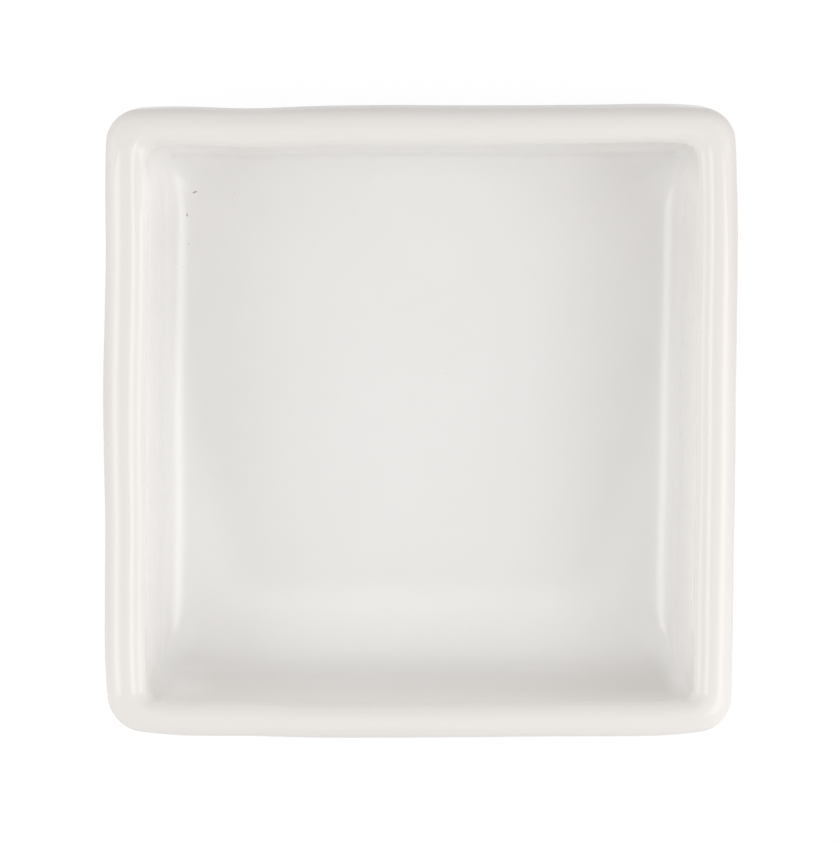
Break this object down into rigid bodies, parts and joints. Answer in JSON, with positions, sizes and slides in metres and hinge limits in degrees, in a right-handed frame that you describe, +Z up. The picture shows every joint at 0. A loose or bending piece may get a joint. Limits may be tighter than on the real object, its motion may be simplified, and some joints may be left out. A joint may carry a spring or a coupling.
{
  "type": "square dish",
  "caption": "Small square porcelain dish with a flat-floored well, drafted walls, a thick rounded lip and a bare foot ring, for dips, sauces or a single serving.",
  "frame": {"origin": "middle of the plane that the foot ring stands on", "axes": "+Z up out of the well, +X to the right and +Y to the back as the picture shows it"},
  "size_m": [0.09, 0.09, 0.0265],
  "materials": {
    "white_glaze": "gloss",
    "bare_porcelain": "matte, unglazed"
  },
  "bodies": {
    "root": {"porcelain_body": "bare_porcelain", "glaze_coat": "white_glaze", "base_glaze": "white_glaze"}
  },
  "joints": []
}
